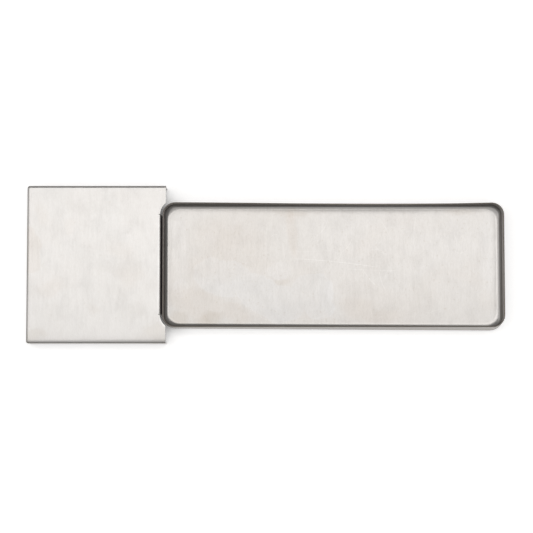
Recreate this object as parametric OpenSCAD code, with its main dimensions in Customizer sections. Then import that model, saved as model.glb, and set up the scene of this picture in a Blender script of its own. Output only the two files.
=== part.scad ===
// Pill counting tray: a low sheet-metal counting deck with a lift-out trough.
// The deck is one folded sheet standing on its own skirts. The trough is a
// drawn pan whose end sits in a notch cut in the deck's right side.
// X runs along the length (deck at -X, trough at +X), Y across it, Z up.
// The origin is the centre of the footprint, on the table. Sizes are in mm.

/* [Overall] */
// Length over the deck and the trough
overall_length = 287; // [270:1:300]
// Height of the counting surface and of the trough's rim
deck_height = 12.7; // [10:0.1:20]

/* [Counting deck] */
// Length of the deck from its left skirt to the tips of its ears
deck_length = 83.4; // [70:0.1:90]
// Width of the deck over its front and rear skirts
deck_width = 95; // [90:0.1:110]
// Thickness of the deck's sheet
deck_sheet = 0.8; // [0.6:0.1:1.2]
// Outer radius of the deck's bends
bend_radius = 1.5; // [1.4:0.1:2.5]
// How far the notch reaches into the deck
notch_depth = 3.4; // [3:0.1:6]
// Gap between the notch and the trough
notch_clearance = 1; // [0.9:0.1:2]
// How far the folded tab stands out from the notch's cut edge
tab_stand_out = 0.4; // [0:0.1:0.6]
// Width of the relief slots at the ends of the notch's folded tab
relief_width = 0.6; // [0.6:0.1:1.5]
// How far the relief slots run past the tab's bend
relief_run = 0.4; // [0.4:0.1:1.5]

/* [Trough] */
// Width of the trough over its long walls
trough_width = 76.6; // [70:0.1:78]
// Thickness of the trough's sheet
trough_sheet = 0.8; // [0.6:0.1:1.2]
// Outer radius of the trough's upright corners
trough_corner_radius = 7.8; // [6:0.1:14]
// Outer radius where the trough's walls meet its floor
trough_floor_radius = 4; // [2.5:0.1:5.5]

/* [Hidden] */
$fn = 96;

steel = [0.80, 0.78, 0.75];
deck_steel = [0.83, 0.81, 0.79];
weld_steel = [0.66, 0.64, 0.61];

deck_left = -overall_length / 2;
deck_right = deck_left + deck_length;
deck_side = deck_width / 2;
notch_edge = deck_right - notch_depth;
trough_left = notch_edge + notch_clearance;
trough_right = overall_length / 2;
trough_side = trough_width / 2;

bend_inner = bend_radius - deck_sheet;
skirt_height = deck_height - bend_radius;
flat_left = deck_left + bend_radius;
flat_side = deck_side - bend_radius;

notch_side = trough_side + notch_clearance;
notch_corner = trough_corner_radius + notch_clearance;
tab_half = notch_side - notch_corner;
tab_bend_start = notch_edge + tab_stand_out - bend_radius;

// Cross-section of a folded edge. The flat sheet ends at zero, and the bend and
// the skirt lie beyond it on the positive side, down to the table.
module folded_edge() {
    translate([0, skirt_height])
        intersection() {
            difference() {
                circle(r = bend_radius);
                circle(r = bend_inner);
            }
            square(bend_radius);
        }
    translate([bend_inner, 0])
        square([deck_sheet, skirt_height]);
}

// Bend and skirt along the X axis, on the rear side
module side_skirt() {
    translate([flat_left, flat_side, 0])
        rotate([90, 0, 90])
            linear_extrude(deck_right - flat_left)
                folded_edge();
}

// Bend and skirt along the deck's left side
module end_skirt() {
    translate([flat_left, -flat_side, 0])
        rotate([90, 0, 180])
            linear_extrude(2 * flat_side)
                folded_edge();
}

// Tab folded down along the straight part of the notch
module notch_tab() {
    translate([tab_bend_start, tab_half, 0])
        rotate([90, 0, 0])
            linear_extrude(2 * tab_half)
                folded_edge();
}

// Outline of the notch: the trough's end, larger by the clearance all round
module notch_outline() {
    for (side = [-1, 1])
        translate([notch_edge + notch_corner, side * tab_half])
            circle(r = notch_corner);
    translate([notch_edge + notch_corner, -notch_side])
        square([notch_depth + notch_corner, 2 * notch_side]);
    translate([notch_edge, -tab_half])
        square([2 * notch_corner, 2 * tab_half]);
}

// Flat plan of the deck's top, up to where its bends start
module deck_flat() {
    difference() {
        translate([flat_left, -flat_side])
            square([deck_right - flat_left, 2 * flat_side]);
        notch_outline();
        translate([tab_bend_start, -tab_half])
            square([2 * bend_radius, 2 * tab_half]);
        for (side = [-1, 1])
            translate([
                tab_bend_start - relief_run,
                side > 0 ? tab_half : -tab_half - relief_width
            ])
                square([relief_run + bend_radius + 1, relief_width]);
    }
}

// One folded sheet: the counting surface, three skirts and the notch's tab
module counting_deck() {
    color(deck_steel)
        union() {
            translate([0, 0, deck_height - deck_sheet])
                linear_extrude(deck_sheet)
                    deck_flat();
            side_skirt();
            mirror([0, 1, 0])
                side_skirt();
            end_skirt();
            notch_tab();
        }
}

// Bead that closes the open corner between two skirts, dressed round
module corner_bead() {
    intersection() {
        union() {
            difference() {
                cylinder(r = bend_radius, h = skirt_height);
                translate([0, 0, -1])
                    cylinder(r = bend_inner, h = skirt_height + 2);
            }
            translate([0, 0, skirt_height])
                difference() {
                    sphere(r = bend_radius);
                    sphere(r = bend_inner);
                }
        }
        translate([-bend_radius, 0, 0])
            cube([bend_radius, bend_radius, deck_height]);
    }
}

module corner_welds() {
    color(weld_steel) {
        translate([flat_left, flat_side, 0])
            corner_bead();
        mirror([0, 1, 0])
            translate([flat_left, flat_side, 0])
                corner_bead();
    }
}

// Cross-section of the trough's wall, seen outwards from a corner's centre line
module wall_section() {
    foot = trough_corner_radius - trough_floor_radius;
    translate([foot, trough_floor_radius])
        intersection() {
            difference() {
                circle(r = trough_floor_radius);
                circle(r = trough_floor_radius - trough_sheet);
            }
            translate([0, -trough_floor_radius])
                square(trough_floor_radius);
        }
    translate([trough_corner_radius - trough_sheet, trough_floor_radius])
        square([trough_sheet, deck_height - trough_floor_radius]);
    square([foot, trough_sheet]);
}

// Straight length of wall with its strip of floor, centred on its middle
module straight_wall(run) {
    rotate([90, 0, 0])
        translate([0, 0, -run / 2])
            linear_extrude(run)
                wall_section();
}

// Drawn pan with a flat floor, rounded floor edges and a plain cut rim
module pill_trough() {
    corner_x = (trough_right - trough_left) / 2 - trough_corner_radius;
    corner_y = trough_side - trough_corner_radius;
    color(steel)
        translate([(trough_left + trough_right) / 2, 0, 0])
            union() {
                translate([-corner_x, -corner_y, 0])
                    cube([2 * corner_x, 2 * corner_y, trough_sheet]);
                translate([corner_x, 0, 0])
                    straight_wall(2 * corner_y);
                translate([-corner_x, 0, 0])
                    rotate(180)
                        straight_wall(2 * corner_y);
                translate([0, corner_y, 0])
                    rotate(90)
                        straight_wall(2 * corner_x);
                translate([0, -corner_y, 0])
                    rotate(-90)
                        straight_wall(2 * corner_x);
                for (turn = [0, 180])
                    rotate(turn) {
                        translate([corner_x, corner_y, 0])
                            rotate_extrude(angle = 90)
                                wall_section();
                        translate([-corner_x, corner_y, 0])
                            rotate(90)
                                rotate_extrude(angle = 90)
                                    wall_section();
                    }
            }
}

counting_deck();
corner_welds();
pill_trough();
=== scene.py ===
from math import cos, pi, radians, sin

import bmesh
import bpy
from mathutils import Matrix, Vector, noise


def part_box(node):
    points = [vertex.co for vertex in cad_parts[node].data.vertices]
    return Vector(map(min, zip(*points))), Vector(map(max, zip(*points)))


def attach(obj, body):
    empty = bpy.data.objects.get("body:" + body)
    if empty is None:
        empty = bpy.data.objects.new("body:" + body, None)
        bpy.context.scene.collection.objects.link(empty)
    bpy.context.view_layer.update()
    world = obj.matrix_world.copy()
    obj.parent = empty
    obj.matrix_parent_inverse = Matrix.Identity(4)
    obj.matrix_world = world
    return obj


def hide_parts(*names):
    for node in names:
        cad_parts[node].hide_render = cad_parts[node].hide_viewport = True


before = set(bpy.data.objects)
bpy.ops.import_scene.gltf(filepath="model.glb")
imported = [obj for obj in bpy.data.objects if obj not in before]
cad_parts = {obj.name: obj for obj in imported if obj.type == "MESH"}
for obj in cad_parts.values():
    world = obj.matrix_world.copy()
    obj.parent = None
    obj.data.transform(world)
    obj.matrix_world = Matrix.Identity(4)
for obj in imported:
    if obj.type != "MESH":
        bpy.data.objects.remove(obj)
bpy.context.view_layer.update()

deckLow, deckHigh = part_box("counting_deck")
weldLow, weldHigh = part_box("corner_welds")
troughLow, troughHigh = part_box("pill_trough")
mm = 0.001
near = 0.02 * mm  # places closer than this are the same place

print("frame loaded")

# shared node work


def newNode(tree, kind, settings=None, **sockets):
    made = tree.nodes.new(kind)
    for key, value in (settings or {}).items():
        setattr(made, key, value)
    for key, value in sockets.items():
        socket = made.inputs[key.replace("_", " ")]
        if isinstance(value, bpy.types.NodeSocket):
            tree.links.new(value, socket)
        else:
            socket.default_value = value
    return made


def calculate(tree, operation, first, second=None):
    made = tree.nodes.new("ShaderNodeMath")
    made.operation = operation
    for socket, value in zip(made.inputs, (first, second)):
        if isinstance(value, bpy.types.NodeSocket):
            tree.links.new(value, socket)
        elif value is not None:
            socket.default_value = value
    return made.outputs[0]


def ramp(tree, value, low, high, toLow=0.0, toHigh=1.0):
    made = newNode(tree, "ShaderNodeMapRange", {"interpolation_type": "SMOOTHSTEP"}, Value=value)
    made.inputs["From Min"].default_value = low
    made.inputs["From Max"].default_value = high
    made.inputs["To Min"].default_value = toLow
    made.inputs["To Max"].default_value = toHigh
    return made.outputs[0]


# studio

studio = {
    "focalLength": 97.1,
    "cameraPlace": (-0.0036, -0.0815, 0.8702),
    "cameraTilt": 3.7,  # degrees off straight down, towards the rear
    "frameShift": (0.0123, 0.0771),
    # each light: its centre, its two sizes, its lean about the Y axis in degrees, its radiance
    "softboxes": {
        "overheadSoftbox": (0.08, 0.18, 1.15, 1.35, 0.53, 0, 1.25),
        "rearSoftbox": (0.12, 0.35, 1.15, 1.2, 0.22, 0, 0.5),
        "wideSoftbox": (-0.35, -0.5, 1.3, 2.6, 2.4, 0, 0.5),
        "leftSoftbox": (-1.15, 0.1, 0.72, 0.7, 1.6, -58, 0.55),
    },
    "lightColour": (1.0, 0.985, 0.97),
    "roomColour": (1.0, 0.985, 0.98),
    "roomStrength": 0.2,
    "backdropStrength": 1.0,
    "floorSize": 30.0,
    "floorPaleness": 0.9,
    "floorGlow": 0.5,
    "glowRange": (0.6, 3.0),  # from here to there the glow takes over from the lights
    "shadeReach": 0.02,
    "shadeRange": (0.3, 0.52),  # openness at which the floor is darkest, and clear
    "shadeLeast": 0.1,
}


def placeCamera():
    data = bpy.data.cameras.new("studioCamera")
    data.sensor_width = 36
    data.lens = studio["focalLength"]
    data.shift_x, data.shift_y = studio["frameShift"]
    data.clip_start = 0.01
    data.clip_end = 60
    camera = bpy.data.objects.new("studioCamera", data)
    bpy.context.scene.collection.objects.link(camera)
    bpy.context.scene.camera = camera
    camera.location = studio["cameraPlace"]
    camera.rotation_euler = (radians(studio["cameraTilt"]), 0, 0)


def placeLights():
    for name, (x, y, z, across, along, lean, radiance) in studio["softboxes"].items():
        data = bpy.data.lights.new(name, "AREA")
        data.shape = "RECTANGLE"
        data.size, data.size_y = across, along
        data.energy = radiance * pi * across * along
        data.color = studio["lightColour"]
        softbox = bpy.data.objects.new(name, data)
        bpy.context.scene.collection.objects.link(softbox)
        softbox.location = (x, y, z)
        softbox.rotation_euler = (0, radians(lean), 0)


def makeRoom():
    # dim towards the object, pale where the backdrop itself is looked at
    world = bpy.data.worlds.new("studioRoom")
    world.use_nodes = True
    nodes, links = world.node_tree.nodes, world.node_tree.links
    room = nodes["Background"]
    room.inputs["Color"].default_value = (*studio["roomColour"], 1)
    room.inputs["Strength"].default_value = studio["roomStrength"]
    backdrop = nodes.new("ShaderNodeBackground")
    backdrop.inputs["Strength"].default_value = studio["backdropStrength"]
    rays = nodes.new("ShaderNodeLightPath")
    both = nodes.new("ShaderNodeMixShader")
    links.new(rays.outputs["Is Camera Ray"], both.inputs[0])
    links.new(room.outputs[0], both.inputs[1])
    links.new(backdrop.outputs[0], both.inputs[2])
    links.new(both.outputs[0], nodes["World Output"].inputs["Surface"])
    bpy.context.scene.world = world
    bpy.context.scene.view_settings.view_transform = "Standard"


def layFloor():
    bm = bmesh.new()
    bmesh.ops.create_grid(bm, x_segments=4, y_segments=4, size=studio["floorSize"] / 2)
    mesh = bpy.data.meshes.new("paleFloor")
    bm.to_mesh(mesh)
    bm.free()
    floor = bpy.data.objects.new("paleFloor", mesh)
    bpy.context.scene.collection.objects.link(floor)
    material = bpy.data.materials.new("paleFloorPaper")
    material.use_nodes = True
    tree = material.node_tree
    shader = tree.nodes["Principled BSDF"]
    shader.inputs["Base Color"].default_value = (*[studio["floorPaleness"]] * 3, 1)
    shader.inputs["Roughness"].default_value = 0.9
    shader.inputs["Emission Color"].default_value = (1, 1, 1, 1)
    # the glow fades in gaps and beneath things, and makes up for the lights far away from them
    shade = newNode(
        tree, "ShaderNodeAmbientOcclusion", {"samples": 8}, Distance=studio["shadeReach"]
    )
    shut, clear = studio["shadeRange"]
    openness = newNode(
        tree, "ShaderNodeMapRange", Value=shade.outputs["AO"], From_Min=shut, From_Max=clear,
        To_Min=studio["shadeLeast"],
    )
    place = tree.nodes.new("ShaderNodeTexCoord").outputs["Object"]
    away = newNode(tree, "ShaderNodeVectorMath", {"operation": "LENGTH"}, Vector=place)
    lit, unlit = studio["glowRange"]
    glow = newNode(
        tree, "ShaderNodeMapRange", Value=away.outputs["Value"], From_Min=lit, From_Max=unlit,
        To_Min=studio["floorGlow"], To_Max=1.0,
    )
    glow = calculate(tree, "MULTIPLY", openness.outputs[0], glow.outputs[0])
    tree.links.new(glow, shader.inputs["Emission Strength"])
    mesh.materials.append(material)


placeCamera()
placeLights()
makeRoom()
layFloor()
print("camera, lights and floor placed")

# shared mesh work


def cutAcross(bm, point, normal, clear=False):
    everything = bm.verts[:] + bm.edges[:] + bm.faces[:]
    bmesh.ops.bisect_plane(
        bm, geom=everything, dist=near / 10, plane_co=point, plane_no=normal, clear_outer=clear
    )


def evenSteps(start, end, longest):
    count = max(1, round((end - start) / longest))
    return [start + (end - start) * i / count for i in range(1, count)]


def closeSeams(bm):
    bmesh.ops.remove_doubles(bm, verts=bm.verts, dist=near / 4)
    bmesh.ops.recalc_face_normals(bm, faces=bm.faces)
    for face in bm.faces:
        face.smooth = True


def laySheetMap(bm, unfold):
    # the map holds each point's place on the flat sheet, in metres, so the grain follows the folds
    sheetMap = bm.loops.layers.uv.new("sheetFlat")
    flat = {v: unfold(v) for v in bm.verts}
    for face in bm.faces:
        for loop in face.loops:
            loop[sheetMap].uv = flat[loop.vert]


def finishPiece(bm, name, look, material, body, node):
    mesh = bpy.data.meshes.new(name)
    bm.to_mesh(mesh)
    bm.free()
    mesh.materials.append(material)
    piece = bpy.data.objects.new(name, mesh)
    bpy.context.scene.collection.objects.link(piece)
    skin = piece.modifiers.new("sheetThickness", "SOLIDIFY")
    skin.thickness = look["sheet"]
    skin.offset = -1
    skin.use_even_offset = True
    skin.use_quality_normals = True
    wear = piece.modifiers.new("wornEdges", "BEVEL")
    wear.width = look["edgeWear"]
    wear.segments = look["wearSteps"]
    wear.limit_method = "ANGLE"
    wear.angle_limit = radians(50)
    even = piece.modifiers.new("evenShading", "WEIGHTED_NORMAL")
    even.keep_sharp = True
    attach(piece, body)
    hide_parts(node)
    return piece


# steel


warmBrown = (0.97, 0.948, 0.928)
# dark brown of specks and stains, also used for painted shade
darkBrownAndShade = (0.90, 0.875, 0.84)
greyWater = (1.013, 1.025, 1.04)
# pale tint of water marks and their rims, also used for painted light
paleWashAndLight = (1.03, 1.035, 1.045)
dullGrey = (0.95, 0.948, 0.942)
# brightens scratches and loop marks, and paints highlight lines
brightMarkAndHighlight = (1.14, 1.15, 1.16)
# the tint of the painted shade on the folds, the rim and the walls
foldShade = (0.3, 0.26, 0.22)

# sizes of the finish's marks across and along the grain, in mm
markSizes = {
    "fine": (0.42, 1.8),
    "streaks": (0.7, 10),
    "mottle": (9, 11),
    "clouds": (34, 30),
    "specks": (1.6, 1.8),
    "loops": (21, 25),
}


def cloud(tree, place, size, detail, seed, warp=0.0):
    # soft noise with lumps of a size across and along the grain, in mm
    across, along = size[0] * mm, size[1] * mm
    scaled = newNode(
        tree, "ShaderNodeMapping", Vector=place, Location=(seed, seed * 0.7, seed * 0.3),
        Scale=(1 / across, 1 / along, 1 / across),
    )
    made = newNode(
        tree, "ShaderNodeTexNoise", Vector=scaled.outputs[0], Scale=1.0, Detail=detail,
        Roughness=0.55, Distortion=warp,
    )
    return made.outputs["Fac"]


def tinted(tree, colour, tint, amount):
    # the colour is multiplied by the tint where the amount is one
    made = tree.nodes.new("ShaderNodeMix")
    made.data_type = "RGBA"
    made.blend_type = "MULTIPLY"
    tree.links.new(amount, made.inputs[0])
    tree.links.new(colour, made.inputs[6])
    made.inputs[7].default_value = (*tint, 1)
    return made.outputs[2]


def outline(tree, place, ovals):
    # how far out of a group of ovals each place is, with one at their common outline
    nearest = None
    for x, y, across, along, turn in ovals:
        moved = newNode(
            tree, "ShaderNodeMapping", {"vector_type": "TEXTURE"}, Vector=place,
            Location=(x * mm, y * mm, 0), Rotation=(0, 0, radians(turn)),
            Scale=(across * mm, along * mm, 1),
        )
        flat = newNode(tree, "ShaderNodeVectorMath", {"operation": "MULTIPLY"})
        tree.links.new(moved.outputs[0], flat.inputs[0])
        flat.inputs[1].default_value = (1, 1, 0)
        reach = newNode(tree, "ShaderNodeVectorMath", {"operation": "LENGTH"})
        tree.links.new(flat.outputs[0], reach.inputs[0])
        if nearest is None:
            nearest = reach.outputs["Value"]
        else:
            nearest = calculate(tree, "MINIMUM", nearest, reach.outputs["Value"])
    return nearest


def hairline(tree, place, x, y, length, turn, bow, width):
    # one along a thin arc centred on a point
    moved = newNode(
        tree, "ShaderNodeMapping", {"vector_type": "TEXTURE"}, Vector=place,
        Location=(x, y, 0), Rotation=(0, 0, radians(turn)), Scale=(length / 2, length / 2, 1),
    )
    apart = newNode(tree, "ShaderNodeSeparateXYZ", Vector=moved.outputs[0])
    along, across = apart.outputs[0], apart.outputs[1]
    arc = calculate(tree, "MULTIPLY", calculate(tree, "MULTIPLY", along, along), bow)
    off = calculate(tree, "ABSOLUTE", calculate(tree, "SUBTRACT", across, arc))
    thin = ramp(tree, off, 2 * width / length, 0.6 * width / length)
    ends = ramp(tree, calculate(tree, "ABSOLUTE", along), 1.0, 0.7)
    return calculate(tree, "MULTIPLY", thin, ends)


def brushedSteel(name, look):
    material = bpy.data.materials.new(name)
    material.use_nodes = True
    tree = material.node_tree
    shader = tree.nodes["Principled BSDF"]
    shader.inputs["Metallic"].default_value = 1
    place = tree.nodes.new("ShaderNodeTexCoord").outputs["Object"]
    sheet = newNode(tree, "ShaderNodeUVMap", {"uv_map": "sheetFlat"}).outputs[0]
    seed = look["seed"]

    fine = cloud(tree, sheet, markSizes["fine"], 3, seed)
    streaks = cloud(tree, sheet, markSizes["streaks"], 3, seed + 3)
    mottle = cloud(tree, place, markSizes["mottle"], 4, seed + 7, 0.4)
    clouds = cloud(tree, place, markSizes["clouds"], 3, seed + 11, 0.6)
    specks = cloud(tree, place, markSizes["specks"], 2, seed + 17)
    loops = cloud(tree, place, markSizes["loops"], 1.5, seed + 23, 1.2)

    base = newNode(tree, "ShaderNodeRGB")
    base.outputs[0].default_value = (*look["colour"], 1)
    colour = base.outputs[0]
    colour = tinted(tree, colour, look["brownTint"], ramp(tree, clouds, 0.42, 0.66, 0, look["brown"]))
    colour = tinted(tree, colour, look["darkTint"], ramp(tree, mottle, 0.46, 0.72, 0, look["mottle"]))
    colour = tinted(tree, colour, look["darkTint"], ramp(tree, streaks, 0.38, 0.68, 0, look["streaks"]))
    colour = tinted(tree, colour, look["darkTint"], ramp(tree, fine, 0.4, 0.63, 0, look["fine"]))
    colour = tinted(tree, colour, darkBrownAndShade, ramp(tree, specks, 0.65, 0.7, 0, look["specks"]))

    wander = newNode(tree, "ShaderNodeTexNoise", Vector=place, Scale=110.0, Detail=2.0)
    centred = newNode(tree, "ShaderNodeVectorMath", {"operation": "SUBTRACT"})
    tree.links.new(wander.outputs["Color"], centred.inputs[0])
    centred.inputs[1].default_value = (0.5, 0.5, 0.5)
    # stains, and a few patches of painted shade and painted light, tint the colour inside ovals
    for tint, amount, softness, wobble, ring, ovals in look["stainsAndPaintedLight"]:
        pushed = newNode(tree, "ShaderNodeVectorMath", {"operation": "MULTIPLY_ADD"})
        tree.links.new(centred.outputs[0], pushed.inputs[0])
        pushed.inputs[1].default_value = (wobble * mm, wobble * mm, 0)
        tree.links.new(place, pushed.inputs[2])
        reach = outline(tree, pushed.outputs[0], ovals)
        colour = tinted(tree, colour, tint, ramp(tree, reach, 1 + softness, 1 - softness, 0, amount))
        if ring:
            off = calculate(tree, "ABSOLUTE", calculate(tree, "SUBTRACT", reach, 1.0))
            colour = tinted(tree, colour, paleWashAndLight, ramp(tree, off, 0.06, 0.0, 0, ring))

    offLoop = calculate(tree, "ABSOLUTE", calculate(tree, "SUBTRACT", loops, 0.5))
    marks = ramp(tree, offLoop, 0.006, 0.001)
    broken = ramp(tree, mottle, 0.5, 0.6)
    marks = calculate(tree, "MULTIPLY", calculate(tree, "MULTIPLY", marks, broken), look["loops"])
    # scratch lines, some of them painted highlights, join the loop marks
    for x, y, length, turn, bow, width, amount in look["scratchesAndHighlights"]:
        line = hairline(tree, place, x * mm, y * mm, length * mm, turn, bow, width * mm)
        marks = calculate(tree, "MAXIMUM", marks, calculate(tree, "MULTIPLY", line, amount))
    colour = tinted(tree, colour, brightMarkAndHighlight, marks)

    # painted shade: the colour is darkened in bands by height, along the deck's folds and on the trough's
    # rim and walls
    height = newNode(tree, "ShaderNodeSeparateXYZ", Vector=place).outputs[2]
    shadeMask = None
    for low, high, soft, amount in look["shadeBands"]:
        above = ramp(tree, height, low - soft, low + soft, 0, amount)
        band = calculate(tree, "MULTIPLY", above, ramp(tree, height, high + soft, high - soft))
        shadeMask = band if shadeMask is None else calculate(tree, "MAXIMUM", shadeMask, band)
    colour = tinted(tree, colour, foldShade, shadeMask)
    tree.links.new(colour, shader.inputs["Base Color"])

    rough = ramp(tree, streaks, 0.3, 0.7, look["rough"] - 0.015, look["rough"] + 0.015)
    rough = calculate(tree, "ADD", rough, ramp(tree, mottle, 0.4, 0.7, -0.01, 0.015))
    rough = calculate(tree, "ADD", rough, calculate(tree, "MULTIPLY", shadeMask, 0.2))
    tree.links.new(rough, shader.inputs["Roughness"])
    grooves = calculate(tree, "MULTIPLY", fine, 0.6)
    grain = calculate(tree, "ADD", grooves, calculate(tree, "MULTIPLY", marks, 0.5))
    bump = newNode(
        tree, "ShaderNodeBump", Height=grain, Strength=look["grainDepth"], Distance=0.02 * mm
    )
    tree.links.new(bump.outputs[0], shader.inputs["Normal"])
    return material


# counting deck

deck = {
    "sheet": 0.8 * mm,
    "bendRadius": 1.5 * mm,
    "bendSteps": 8,
    "endClearance": 1.0 * mm,  # between the notch and the end of the trough
    "sideClearance": 0.4 * mm,
    "tabStandOut": 0.75 * mm,
    "notchCorner": 8.8 * mm,
    "cornerSteps": 14,
    "reliefWidth": 0.3 * mm,
    "reliefRun": 0.1 * mm,
    "cell": 4.0 * mm,
    "foldRows": (0.3 * mm, 1.2 * mm),  # cuts beside the folds that keep them crisp
    "edgeWear": 0.13 * mm,
    "wearSteps": 2,
    "waviness": 0.07 * mm,
    "wavePitch": 22 * mm,
    "stiffBorder": 12 * mm,  # the folds hold the sheet flat within this
    "frontDip": 0.15 * mm,
    "frontDipReach": 2.2 * mm,
    "skirtBow": 0.2 * mm,
    "steel": {
        "seed": 2.3,
        "colour": (0.545, 0.536, 0.526),
        "rough": 0.3,
        "grainDepth": 0.25,
        "brownTint": warmBrown,
        "darkTint": dullGrey,
        "brown": 0.2,
        "mottle": 0.1,
        "streaks": 0.14,
        "fine": 0.7,
        "specks": 0.3,
        "loops": 0.15,
        # lowest, highest, softness and amount of the painted shade bands along the folds
        "shadeBands": [(deckHigh.z - 2.2 * mm, deckHigh.z - 0.35 * mm, 0.3 * mm, 0.45)],
        # tint, amount, softness, wobble, rim brightness, and ovals: centre, half sizes, turn
        "stainsAndPaintedLight": [
            (warmBrown, 0.8, 0.12, 8, 0, [(-140, 9, 6, 8, 0), (-140, 0, 5, 6, 0), (-143, 18, 4, 5, 0)]),
            (warmBrown, 0.5, 0.4, 10, 0, [(-129, -14, 8, 6, 30)]),
            (dullGrey, 0.5, 0.5, 14, 0, [(-92, 4, 22, 12, -10), (-92, -16, 22, 16, 10)]),
            (warmBrown, 0.45, 0.5, 12, 0, [(-82, -5, 8, 8, 20), (-86, 8, 9, 5, -30)]),
            (dullGrey, 0.6, 0.5, 10, 0, [(-128, -30, 7, 5, 0), (-80, -29, 9, 5, 10)]),
            (warmBrown, 0.45, 0.5, 8, 0, [(-102, -27, 3.5, 3, 0)]),
            (darkBrownAndShade, 0.45, 0.4, 12, 0, [(-137, -42, 8, 4, 12), (-66, -42, 8, 5, 0)]),
            (dullGrey, 0.5, 0.5, 16, 0, [(-106, 34, 20, 4, -6), (-95, 38, 6, 4, 30)]),
            (warmBrown, 0.4, 0.5, 10, 0, [(-134, 31, 4, 6, 15), (-117, 24, 4, 4, 0)]),
        ],
        # centre, length, turn, bow, width and amount
        "scratchesAndHighlights": [
            # the first two are painted highlights: a bright line along the tab's fold, and one round the
            # cut edge of the lower notch corner
            (-64.6, 0, 62, 90, 0, 0.4, 1.0),
            (-61.0, -36.8, 12.7, -45, 0.41, 0.7, 1.0),
            (-118, 21, 16, 62, 0.12, 0.12, 0.25),
            (-95, -36, 12, 34, -0.1, 0.12, 0.3),
            (-84, 30, 20, 112, 0.08, 0.1, 0.2),
            (-104, -8, 26, 18, 0.05, 0.1, 0.2),
        ],
    },
}

deckTop = deckHigh.z
foldX = deckLow.x + deck["bendRadius"]
foldY = deckHigh.y - deck["bendRadius"]
notchX = troughLow.x - deck["endClearance"]
notchY = troughHigh.y + deck["sideClearance"]
tabY = notchY - deck["notchCorner"]
tabFoldX = notchX + deck["tabStandOut"] - deck["bendRadius"]


def foldDown(bm, edges, hinge, axis):
    turned = bmesh.ops.spin(
        bm, geom=edges, cent=hinge, axis=axis, angle=radians(90), steps=deck["bendSteps"]
    )
    lip = [part for part in turned["geom_last"] if isinstance(part, bmesh.types.BMEdge)]
    rows = 3
    drop = (deckTop - deck["bendRadius"] - deckLow.z) / rows
    for row in range(rows):
        grown = bmesh.ops.extrude_edge_only(bm, edges=lip)["geom"]
        newVerts = [part for part in grown if isinstance(part, bmesh.types.BMVert)]
        lip = [part for part in grown if isinstance(part, bmesh.types.BMEdge)]
        bmesh.ops.translate(bm, verts=newVerts, vec=(0, 0, -drop))


def unfoldDeck(v):
    x, y, z = v.co
    depth = deckTop - z
    if y > foldY:
        return (x, y + depth)
    if y < -foldY:
        return (x, y - depth)
    if x < foldX:
        return (x - depth, y)
    return (x + depth, y)


def settleDeck(v):
    # the sheet is a little wavy, its front fold dips towards the open side, and its skirts bow in
    x, y, z = v.co
    wave = 0.5 + 0.5 * noise.noise(Vector((x, y, 0)) / deck["wavePitch"])
    along = (x - deckLow.x) / (deckHigh.x - deckLow.x)
    depth = (deckTop - z) / (deckTop - deckLow.z)
    frontness = max(0.0, 1 - (y + foldY) / deck["frontDipReach"]) if y > -foldY else 1.0
    if depth < 0.5:
        inset = min(x - foldX, foldY - abs(y), deck["stiffBorder"]) / deck["stiffBorder"]
        v.co.z -= deck["waviness"] * wave * max(0.0, inset)
        v.co.z -= deck["frontDip"] * frontness**2 * (0.6 + 0.4 * along**2) * (1 - depth)
    bow = deck["skirtBow"] * depth
    if abs(y) > foldY:
        v.co.y -= bow * sin(pi * min(1.0, along)) * (1 if y > 0 else -1)
    elif x < foldX:
        v.co.x += bow * cos(pi / 2 * y / foldY)


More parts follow.
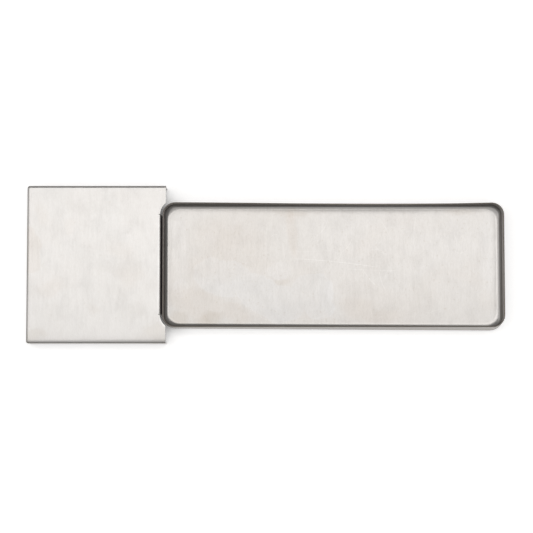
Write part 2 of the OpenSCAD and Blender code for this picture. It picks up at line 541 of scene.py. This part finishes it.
def makeDeck():
    bm = bmesh.new()
    far = deckHigh.x + 20 * mm  # trimmed off once the notch is rounded
    blank = [
        (foldX, -foldY), (far, -foldY), (far, -notchY), (notchX, -notchY),
        (notchX, notchY), (far, notchY), (far, foldY), (foldX, foldY),
    ]
    bm.faces.new([bm.verts.new((x, y, deckTop)) for x, y in blank])
    notchCorners = [v for v in bm.verts if abs(v.co.x - notchX) < near]
    bmesh.ops.bevel(
        bm, geom=notchCorners, offset=deck["notchCorner"], segments=deck["cornerSteps"],
        profile=0.5, affect="VERTICES", material=-1,
    )
    tabFace = bmesh.ops.extrude_edge_only(
        bm, edges=[e for e in bm.edges if all(abs(v.co.x - notchX) < near for v in e.verts)]
    )["geom"]
    bmesh.ops.translate(
        bm, verts=[part for part in tabFace if isinstance(part, bmesh.types.BMVert)],
        vec=(deck["bendRadius"], 0, 0),
    )
    cutAcross(bm, (deckHigh.x, 0, 0), (1, 0, 0), clear=True)
    slotEnd = tabFoldX - deck["reliefRun"]
    close, wide = deck["foldRows"]
    for x in [tabFoldX, slotEnd, foldX + close] + evenSteps(foldX, slotEnd, deck["cell"]):
        cutAcross(bm, (x, 0, 0), (1, 0, 0))
    linesY = [tabY, tabY + deck["reliefWidth"], foldY - close, foldY - wide]
    for y in linesY + evenSteps(0, tabY, deck["cell"]) + evenSteps(tabY, foldY, deck["cell"]):
        cutAcross(bm, (0, y, 0), (0, 1, 0))
        cutAcross(bm, (0, -y, 0), (0, 1, 0))
    gone = []
    for face in bm.faces:
        centre = face.calc_center_median()
        inTab = centre.x > tabFoldX and abs(centre.y) < tabY
        inSlot = centre.x > slotEnd and tabY < abs(centre.y) < tabY + deck["reliefWidth"]
        if inTab or inSlot:
            gone.append(face)
    bmesh.ops.delete(bm, geom=gone, context="FACES")
    hingeZ = deckTop - deck["bendRadius"]

    def edgesAlong(test):
        return [e for e in bm.edges if e.is_boundary and all(test(v.co) for v in e.verts)]

    rear = edgesAlong(lambda p: abs(p.y - foldY) < near)
    front = edgesAlong(lambda p: abs(p.y + foldY) < near)
    left = edgesAlong(lambda p: abs(p.x - foldX) < near)
    tab = edgesAlong(lambda p: abs(p.x - tabFoldX) < near and abs(p.y) < tabY + near)
    foldDown(bm, rear, (0, foldY, hingeZ), (-1, 0, 0))
    foldDown(bm, front, (0, -foldY, hingeZ), (1, 0, 0))
    foldDown(bm, left, (foldX, 0, hingeZ), (0, -1, 0))
    foldDown(bm, tab, (tabFoldX, 0, hingeZ), (0, 1, 0))
    closeSeams(bm)
    laySheetMap(bm, unfoldDeck)
    for v in bm.verts:
        settleDeck(v)
    return finishPiece(
        bm, "countingDeckSheet", deck, brushedSteel("deckSteel", deck["steel"]), "deck",
        "counting_deck",
    )


makeDeck()
print("counting deck folded")

# corner welds

weld = {
    "sheet": 0.8 * mm,
    "radius": 1.5 * mm,
    "roundSteps": 8,
    "ripple": 0.09 * mm,
    "ripplePitch": 0.9 * mm,
    "rippleStart": 1.0 * mm,
    "edgeWear": 0.05 * mm,
    "wearSteps": 1,
    "steel": {
        **deck["steel"],
        "seed": 5.1,
        "colour": (0.44, 0.43, 0.415),
        "rough": 0.42,
        "grainDepth": 0.4,
        "mottle": 0.9,
        "stainsAndPaintedLight": [],
        "scratchesAndHighlights": [],
    },
}


def makeWelds():
    bm = bmesh.new()
    shoulder = weldHigh.z - weld["radius"]
    rows = 12
    for side in (1, -1):
        hinge = Vector((weldLow.x + weld["radius"], side * (weldHigh.y - weld["radius"]), 0))
        start = bm.verts.new((weldLow.x, hinge.y, weldLow.z))
        edges = []
        for row in range(rows):
            end = bm.verts.new((weldLow.x, hinge.y, weldLow.z + shoulder * (row + 1) / rows))
            edges.append(bm.edges.new((start, end)))
            start = end
        bmesh.ops.spin(
            bm, geom=[start], cent=hinge + Vector((0, 0, shoulder)), axis=(0, 1, 0),
            angle=radians(90), steps=weld["roundSteps"],
        )
        column = [e for e in bm.edges if e.is_wire]
        bmesh.ops.spin(
            bm, geom=column, cent=hinge, axis=(0, 0, -side), angle=radians(90),
            steps=weld["roundSteps"],
        )
    closeSeams(bm)
    laySheetMap(bm, lambda v: (v.co.x + v.co.y, v.co.z))
    for v in bm.verts:
        # the ripples of the bead, dressed down, all dip inwards
        wave = 0.5 + 0.5 * sin(2 * pi * v.co.z / weld["ripplePitch"] + 9 * noise.noise(v.co / (2 * mm)))
        v.co -= v.normal * weld["ripple"] * wave * min(1.0, max(0.0, (v.co.z - weld["rippleStart"]) / mm))
    return finishPiece(
        bm, "cornerWeldBeads", weld, brushedSteel("weldSteel", weld["steel"]), "deck",
        "corner_welds",
    )


makeWelds()
print("corner welds dressed")

# trough

trough = {
    "sheet": 0.8 * mm,
    "rimCorner": 7.8 * mm,
    "floorCorner": 10.5 * mm,
    "floorRadius": 4.0 * mm,
    "cornerSteps": 14,
    "floorSteps": 10,
    "cell": 5.0 * mm,
    "edgeWear": 0.37 * mm,  # the rim is rolled nearly round
    "wearSteps": 4,
    "rearPull": 0.85 * mm,
    "rearBow": 1.1 * mm,
    "rimInset": 0.55 * mm,
    "footInset": 0.1 * mm,
    "footFlare": 1.6 * mm,
    "endPull": 0.45 * mm,
    "rimDrop": 0.03 * mm,
    "floorCrown": 0.25 * mm,
    "waviness": 0.1 * mm,
    "wavePitch": 26 * mm,
    "steel": {
        "seed": 8.6,
        "colour": (0.51, 0.497, 0.483),
        "rough": 0.3,
        "grainDepth": 0.25,
        "brownTint": warmBrown,
        "darkTint": dullGrey,
        "brown": 0.35,
        "mottle": 0.12,
        "streaks": 0.14,
        "fine": 0.95,
        "specks": 0.6,
        "loops": 0.35,
        # painted shade: a dark band on the rolled rim, and a darker tone on the walls above 2.5 mm
        "shadeBands": [
            (troughHigh.z - 0.28 * mm, 1.0, 0.08 * mm, 0.8),
            (2.5 * mm, 1.0, 1.0 * mm, 0.42),
        ],
        "stainsAndPaintedLight": [
            (paleWashAndLight, 0.6, 0.35, 6, 0, [(-53, 14, 5, 20, 4), (-35, 17, 4, 4, 0)]),
            (warmBrown, 0.55, 0.45, 12, 0, [(-20, 12, 24, 14, -30), (-28, 0, 18, 8, 0)]),
            (warmBrown, 0.8, 0.35, 5, 0, [(16, 20, 3, 14, 4)]),
            # painted shade: dark ovals along the foot of the rear wall, where the wall shades the floor
            (darkBrownAndShade, 0.5, 0.5, 5, 0, [(15, 33, 9, 2.5, 0), (118, 33, 8, 2, 0)]),
            (warmBrown, 0.7, 0.3, 10, 0, [(-42, -22, 18, 9, -12), (-20, -28, 12, 5, -25)]),
            (darkBrownAndShade, 0.75, 0.4, 7, 0, [(-52, -32, 6, 4, 0), (-34, -32, 8, 3.5, 8)]),
            (greyWater, 1.0, 0.05, 6, 0.6, [
                (-25, -7, 19, 11, -16), (-4, -17, 16, 11, -30), (10, -23, 14, 11, 0),
                (28, -16, 13, 11, 20), (32, -26, 9, 6, 0),
            ]),
            (paleWashAndLight, 0.85, 0.1, 4, 0.3, [(8.5, -3, 7, 5.5, 0)]),
            (paleWashAndLight, 1.0, 0.12, 3, 0.2, [(-52, -13.5, 4.8, 5.5, 0)]),
            (dullGrey, 0.45, 0.6, 20, 0, [(-15, 4, 55, 34, 0)]),
            (paleWashAndLight, 0.5, 0.3, 8, 0, [(41, -18, 4, 12, 10)]),
            (warmBrown, 0.7, 0.3, 4, 0, [(10, -9.5, 5, 2, 8)]),
            (warmBrown, 0.6, 0.45, 9, 0, [(56, -26, 11, 7, -15), (70, -31, 12, 3, 0)]),
            # painted light: a pale band near the right end of the floor
            (paleWashAndLight, 0.9, 0.6, 6, 0, [(138, 4, 7, 34, 0)]),
            (warmBrown, 0.4, 0.5, 8, 0, [(134, -22, 5, 6, 10)]),
            # painted light: the right half of the floor is made paler
            (paleWashAndLight, 0.35, 0.7, 24, 0, [(60, 24, 30, 12, 10), (112, 10, 26, 20, 0)]),
        ],
        "scratchesAndHighlights": [
            (43, 2.5, 56, -6, -0.03, 0.22, 0.9),
            (64, -2.5, 34, -2, 0.02, 0.2, 0.6),
            (63, -8, 17, -50, 0.12, 0.2, 0.9),
            (70, -9, 13, -72, 0.1, 0.2, 0.8),
            (90, 19, 24, 88, -0.08, 0.2, 0.8),
            (52, 16, 14, 78, 0.45, 0.2, 0.7),
            (46, 8, 14, 55, -0.4, 0.2, 0.6),
            (116, 14, 15, 95, 0.3, 0.2, 0.7),
            (119, 8, 8, 10, 0.35, 0.2, 0.6),
            (36, 24, 12, 62, 0.2, 0.2, 0.7),
            (73, 23, 13, -60, -0.15, 0.18, 0.6),
            (27, 9, 30, 1, 0.04, 0.18, 0.35),
            (-38, -10, 15, 84, 0.3, 0.2, 0.6),
            (-57, 6, 14, 70, 0.3, 0.16, 0.5),
            (-54, 4, 12, 72, 0.3, 0.16, 0.5),
            (30, -32, 30, 14, 0.3, 0.2, 0.35),
            (2, -33, 26, -12, 0.4, 0.2, 0.35),
            (100, -28, 20, 40, 0.2, 0.16, 0.35),
            (84, -14, 22, 66, 0.2, 0.16, 0.35),
        ],
    },
}


def unfoldTrough(v):
    outwards = Vector((v.normal.x, v.normal.y))
    place = Vector((v.co.x, v.co.y))
    if outwards.length > 0.1:
        place += outwards.normalized() * (v.co.z - troughLow.z)
    return place


def rimReach(heading):
    # from the centre of a floor corner out to the rim's tighter corner
    apart = trough["floorCorner"] - trough["rimCorner"]
    straight = trough["floorCorner"] / max(heading)
    if min(heading) * straight < apart:
        return straight
    inwards = apart * (heading.x + heading.y)
    return inwards + (inwards**2 - 2 * apart**2 + trough["rimCorner"] ** 2) ** 0.5


def settleTrough(v):
    # the walls lean in at the rim, the front one's foot spreads, and the floor is a little proud
    x, y, z = v.co
    middleX = (troughLow.x + troughHigh.x) / 2
    along = (x - troughLow.x) / (troughHigh.x - troughLow.x)
    rise = (z - troughLow.z) / (troughHigh.z - troughLow.z)
    firm = rise * rise * (3 - 2 * rise)
    sideways = y / troughHigh.y
    lengthways = (x - middleX) / (troughHigh.x - middleX)
    corner = trough["floorCorner"]
    out = Vector((
        max(0.0, abs(x - middleX) - (troughHigh.x - middleX - corner)),
        max(0.0, abs(y) - (troughHigh.y - corner)),
    ))
    turned = min(1.0, max(0.0, 1 - (corner - out.length) / trough["floorRadius"]))
    if sideways > 0.5:
        pull = trough["rearPull"] + trough["rearBow"] * sin(pi * min(1.0, max(0.0, along)) ** 1.6)
        v.co.y -= pull * firm * (sideways - 0.5) * 2
    elif sideways < 0 and out.y > 0:
        foot = trough["footInset"] - trough["footFlare"] * max(0.0, along)
        v.co.y += (foot + (trough["rimInset"] - foot) * firm) * turned**0.6 * out.y / out.length
    if abs(lengthways) > 0.5:
        pull = trough["endPull"] * firm * (abs(lengthways) - 0.5) * 2
        v.co.x -= pull if x > middleX else -pull
    if out.x > 0 and out.y > 0:
        # the corners are rounder at the floor than at the rim
        stretch = (rimReach(out.normalized()) / corner - 1) * max(rise, turned**2)
        v.co.x += stretch * (out.x if x > middleX else -out.x)
        v.co.y += stretch * (out.y if y > 0 else -out.y)
    crown = max(0.0, 1 - lengthways**2) * max(0.0, 1 - sideways**2)
    wave = 0.5 + 0.5 * noise.noise(Vector((x, y, 3)) / trough["wavePitch"])
    v.co.z += (trough["floorCrown"] + trough["waviness"] * wave) * crown * (1 - firm)
    v.co.z -= trough["rimDrop"] * firm


def makeTrough():
    size = troughHigh - troughLow
    middle = (troughHigh + troughLow) / 2
    bm = bmesh.new()
    bmesh.ops.create_cube(bm, size=1, matrix=Matrix.LocRotScale(middle, None, size))
    lid = [f for f in bm.faces if f.normal.z > 0.9]
    bmesh.ops.delete(bm, geom=lid, context="FACES_ONLY")
    upright = [e for e in bm.edges if abs(e.verts[0].co.z - e.verts[1].co.z) > near]
    bmesh.ops.bevel(
        bm, geom=upright, offset=trough["floorCorner"], segments=trough["cornerSteps"],
        profile=0.5, affect="EDGES", material=-1,
    )
    foot = [e for e in bm.edges if all(v.co.z < troughLow.z + near for v in e.verts)]
    bmesh.ops.bevel(
        bm, geom=foot, offset=trough["floorRadius"], segments=trough["floorSteps"],
        profile=0.5, affect="EDGES", material=-1,
    )
    inner = trough["floorCorner"]
    for x in evenSteps(troughLow.x + inner, troughHigh.x - inner, trough["cell"]):
        cutAcross(bm, (x, 0, 0), (1, 0, 0))
    for y in evenSteps(troughLow.y + inner, troughHigh.y - inner, trough["cell"]):
        cutAcross(bm, (0, y, 0), (0, 1, 0))
    wallStart = troughLow.z + trough["floorRadius"]
    for z in [wallStart + 0.2 * mm] + evenSteps(wallStart, troughHigh.z, 3 * mm):
        cutAcross(bm, (0, 0, z), (0, 0, 1))
    closeSeams(bm)
    laySheetMap(bm, unfoldTrough)
    for v in bm.verts:
        settleTrough(v)
    return finishPiece(
        bm, "troughPan", trough, brushedSteel("troughSteel", trough["steel"]), "trough",
        "pill_trough",
    )


makeTrough()
print("trough drawn")
